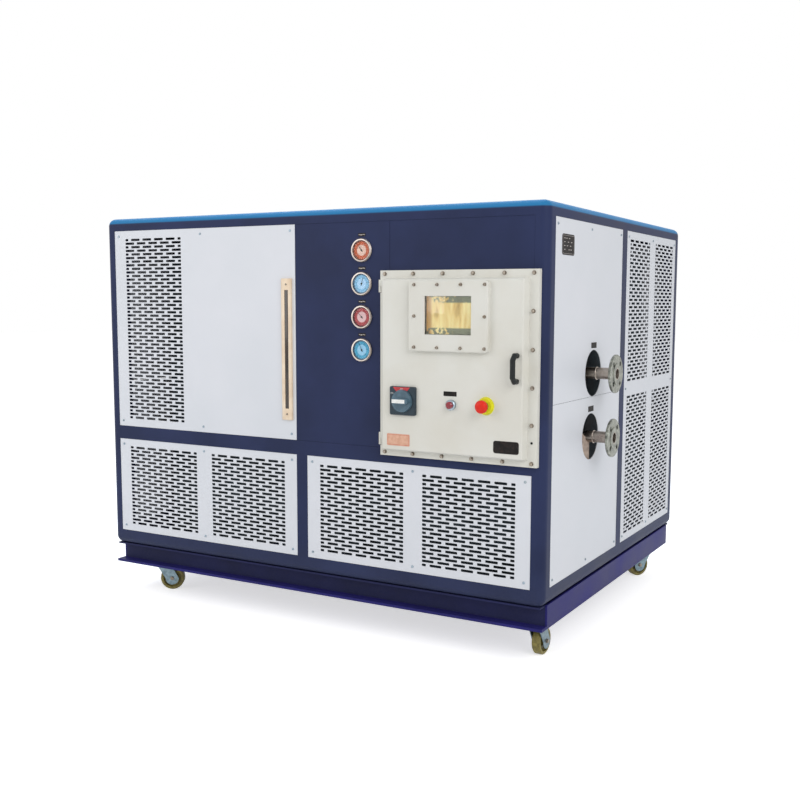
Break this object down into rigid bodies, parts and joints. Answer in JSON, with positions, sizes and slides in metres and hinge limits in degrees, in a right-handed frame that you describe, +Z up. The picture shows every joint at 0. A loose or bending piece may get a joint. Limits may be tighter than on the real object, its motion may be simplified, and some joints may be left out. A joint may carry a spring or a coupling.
{
  "type": "recirculating chiller",
  "caption": "Framed chiller cabinet on a skid with swivel casters, slotted panels, pressure gauges, a level gauge, flanged water pipes and a hinged flameproof control box.",
  "frame": {"origin": "on the floor, in the middle of the machine's whole outline, pipes and stop button included", "axes": "+X towards the pipe side, +Y towards the rear, +Z up"},
  "size_m": [2.063, 1.6634, 1.575],
  "materials": {
    "navy_paint": "satin powder coat",
    "grey_paint": "satin powder coat",
    "skid_paint": "satin paint",
    "cream_paint": "textured powder coat",
    "dark_machinery": "matt dark",
    "zinc": "bright zinc plate",
    "stainless": "satin stainless steel",
    "wheel_nylon": "satin",
    "aluminium": "satin anodised",
    "chrome": "polished",
    "dial": "satin",
    "black_plastic": "satin",
    "red_plastic": "gloss",
    "yellow_plastic": "gloss",
    "knob_plastic": "satin",
    "glass": "clear",
    "label": "satin"
  },
  "bodies": {
    "cabinet": {"base_plate": "skid_paint", "skid_rails": "skid_paint", "skid_end_plates": "skid_paint", "cross_members": "skid_paint", "corner_posts": "navy_paint", "bottom_rails": "navy_paint", "top_rails": "navy_paint", "mid_rails": "navy_paint", "centre_posts": "navy_paint", "side_posts": "navy_paint", "gauge_panel": "navy_paint", "control_panel": "navy_paint", "lower_left_panel": "grey_paint", "lower_right_panel": "grey_paint", "upper_left_panel": "grey_paint", "upper_pipe_panel": "grey_paint", "lower_pipe_panel": "grey_paint", "right_vent_panel": "grey_paint", "left_plain_panels": "grey_paint", "left_vent_panel": "grey_paint", "rear_lower_panels": "grey_paint", "rear_upper_panels": "grey_paint", "top_panel": "navy_paint", "machinery_block": "dark_machinery", "caster_plates": "zinc", "level_gauge_body": "aluminium", "level_gauge_glass": "glass", "gauge_bezels": "chrome", "gauge_dials": "dial", "gauge_labels": "black_plastic", "control_box_body": "cream_paint", "mounting_plate": "zinc", "hinge_knuckles": "cream_paint", "water_pipes": "stainless", "pipe_flanges": "stainless", "side_plates": "black_plastic"},
    "control_door": {"door": "cream_paint", "window_frame": "cream_paint", "window_glass": "glass", "door_handle": "black_plastic", "switch_base": "black_plastic", "lamp_ring": "chrome", "lamp_lens": "red_plastic", "stop_collar": "yellow_plastic", "door_plates": "label"},
    "switch_lever": {"switch_knob": "knob_plastic"},
    "emergency_stop": {"stop_button": "red_plastic"},
    "fork_front_left": {"fork_front_left": "zinc"},
    "wheel_front_left": {"wheel_front_left": "wheel_nylon"},
    "fork_front_right": {"fork_front_right": "zinc"},
    "wheel_front_right": {"wheel_front_right": "wheel_nylon"},
    "fork_rear_left": {"fork_rear_left": "zinc"},
    "wheel_rear_left": {"wheel_rear_left": "wheel_nylon"},
    "fork_rear_right": {"fork_rear_right": "zinc"},
    "wheel_rear_right": {"wheel_rear_right": "wheel_nylon"}
  },
  "joints": [
    {"name": "door_hinge", "type": "hinge", "parent": "cabinet", "child": "control_door", "pos_m": [0.31, -0.74865, 1.023], "axis": [0, 0, -1], "range_deg": [0, 110]},
    {"name": "switch_turn", "type": "hinge", "parent": "control_door", "child": "switch_lever", "pos_m": [0.4275, -0.79665, 0.898], "axis": [0, 1, 0], "range_deg": [0, 90]},
    {"name": "stop_press", "type": "slide", "parent": "control_door", "child": "emergency_stop", "axis": [0, 1, 0], "range_m": [0, 0.006], "stiffness_N_per_m": 800},
    {"name": "swivel_front_left", "type": "hinge", "parent": "cabinet", "child": "fork_front_left", "pos_m": [-0.8765, -0.61135, 0.115], "axis": [0, 0, 1], "continuous": true},
    {"name": "roll_front_left", "type": "hinge", "parent": "fork_front_left", "child": "wheel_front_left", "pos_m": [-0.84258, -0.59015, 0.05], "axis": [-0.5299, 0.848, 0], "continuous": true},
    {"name": "swivel_front_right", "type": "hinge", "parent": "cabinet", "child": "fork_front_right", "pos_m": [0.8685, -0.61135, 0.115], "axis": [0, 0, 1], "continuous": true},
    {"name": "roll_front_right", "type": "hinge", "parent": "fork_front_right", "child": "wheel_front_right", "pos_m": [0.8699, -0.57137, 0.05], "axis": [-0.9994, 0.0349, 0], "continuous": true},
    {"name": "swivel_rear_left", "type": "hinge", "parent": "cabinet", "child": "fork_rear_left", "pos_m": [-0.8765, 0.65865, 0.115], "axis": [0, 0, 1], "continuous": true},
    {"name": "roll_rear_left", "type": "hinge", "parent": "fork_rear_left", "child": "wheel_rear_left", "pos_m": [-0.91275, 0.64175, 0.05], "axis": [0.4226, -0.9063, 0], "continuous": true},
    {"name": "swivel_rear_right", "type": "hinge", "parent": "cabinet", "child": "fork_rear_right", "pos_m": [0.8685, 0.65865, 0.115], "axis": [0, 0, 1], "continuous": true},
    {"name": "roll_rear_right", "type": "hinge", "parent": "fork_rear_right", "child": "wheel_rear_right", "pos_m": [0.84556, 0.62588, 0.05], "axis": [0.8192, -0.5736, 0], "continuous": true}
  ]
}
